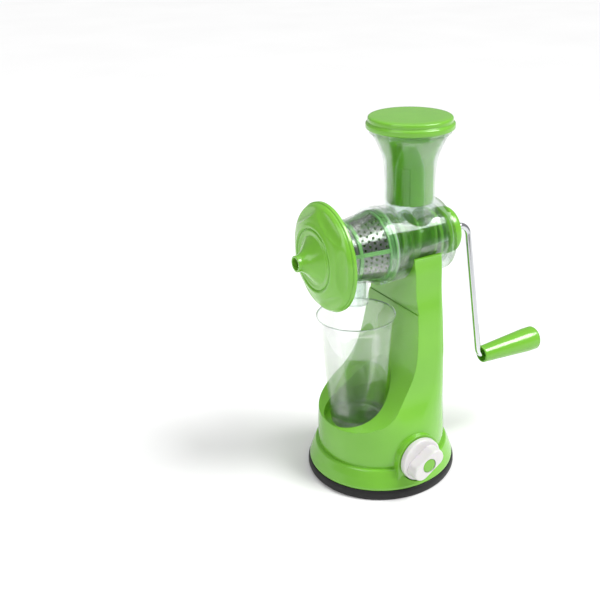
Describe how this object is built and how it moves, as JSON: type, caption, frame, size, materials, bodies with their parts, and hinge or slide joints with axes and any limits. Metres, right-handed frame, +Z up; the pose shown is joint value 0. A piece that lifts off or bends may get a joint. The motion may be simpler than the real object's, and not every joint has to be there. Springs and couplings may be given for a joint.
{
  "type": "hand juicer",
  "caption": "Hand-cranked fruit and vegetable juicer with a clear bowl, auger, steel strainer, suction base and juice glass.",
  "frame": {"origin": "centre of the rubber pad's flat underside", "axes": "+Z up; the pulp nozzle points to -X, the crank is at +X and the suction knob faces -Y"},
  "size_m": [0.2461, 0.144, 0.3213],
  "materials": {
    "green_plastic": "gloss moulded plastic, lime green",
    "pale_green_plastic": "semi-gloss pale green plastic",
    "clear_plastic": "clear moulded plastic",
    "clear_glass": "clear tumbler",
    "white_plastic": "gloss white plastic",
    "steel": "perforated and turned stainless steel",
    "chrome": "polished chrome plate",
    "zinc": "zinc plated fasteners",
    "rubber": "matte black rubber",
    "seal_rubber": "soft grey seal"
  },
  "bodies": {
    "stand": {"stand_body": "green_plastic", "suction_pad": "rubber", "base_plate": "white_plastic", "base_screws": "zinc", "bowl": "clear_plastic", "bowl_screw": "zinc", "bowl_washer": "zinc", "strainer_cover": "clear_plastic", "cover_seal": "seal_rubber", "strainer_sheet": "steel", "strainer_frame": "pale_green_plastic", "shaft_bush": "white_plastic", "rear_seal": "seal_rubber"},
    "knob": {"cam_shaft": "white_plastic", "cam_clip": "zinc", "vacuum_knob": "white_plastic", "knob_screw": "zinc", "knob_inset": "green_plastic"},
    "plunger": {"pad_stud": "white_plastic"},
    "cap": {"front_cap": "green_plastic", "front_seal": "seal_rubber"},
    "crank": {"auger": "green_plastic", "drive_shaft": "steel", "crank_hub": "green_plastic", "hub_insert": "steel", "crank_rod": "chrome", "grip_retainer": "zinc"},
    "grip": {"crank_grip": "green_plastic", "grip_end_cap": "green_plastic"},
    "pusher": {"pusher_stem": "green_plastic", "pusher_cap": "green_plastic"},
    "glass": {"juice_glass": "clear_glass"}
  },
  "joints": [
    {"name": "knob_turn", "type": "hinge", "parent": "stand", "child": "knob", "pos_m": [0, -0.06, 0.0335], "axis": [0, -1, 0], "range_deg": [0, 90]},
    {"name": "plunger_lift", "type": "slide", "parent": "stand", "child": "plunger", "axis": [0, 0, 1], "range_m": [0, 0.00424]},
    {"name": "cap_twist", "type": "hinge", "parent": "stand", "child": "cap", "pos_m": [-0.055, 0, 0.21355], "axis": [1, 0, 0], "range_deg": [0, 35]},
    {"name": "crank_turn", "type": "hinge", "parent": "stand", "child": "crank", "pos_m": [0.06, 0, 0.21355], "axis": [1, 0, 0], "continuous": true},
    {"name": "grip_spin", "type": "hinge", "parent": "crank", "child": "grip", "pos_m": [0.13, -0.02342, 0.09076], "axis": [1, 0, 0], "continuous": true},
    {"name": "pusher_lift", "type": "slide", "parent": "stand", "child": "pusher", "axis": [0, 0, 1], "range_m": [0, 0.0628]},
    {"name": "glass_lift", "type": "slide", "parent": "stand", "child": "glass", "axis": [0, 0, 1], "range_m": [0, 0.0065]}
  ],
  "couplings": [
    {"joint": "knob_turn", "follows": "plunger_lift", "rad_per_m": 370.2}
  ]
}
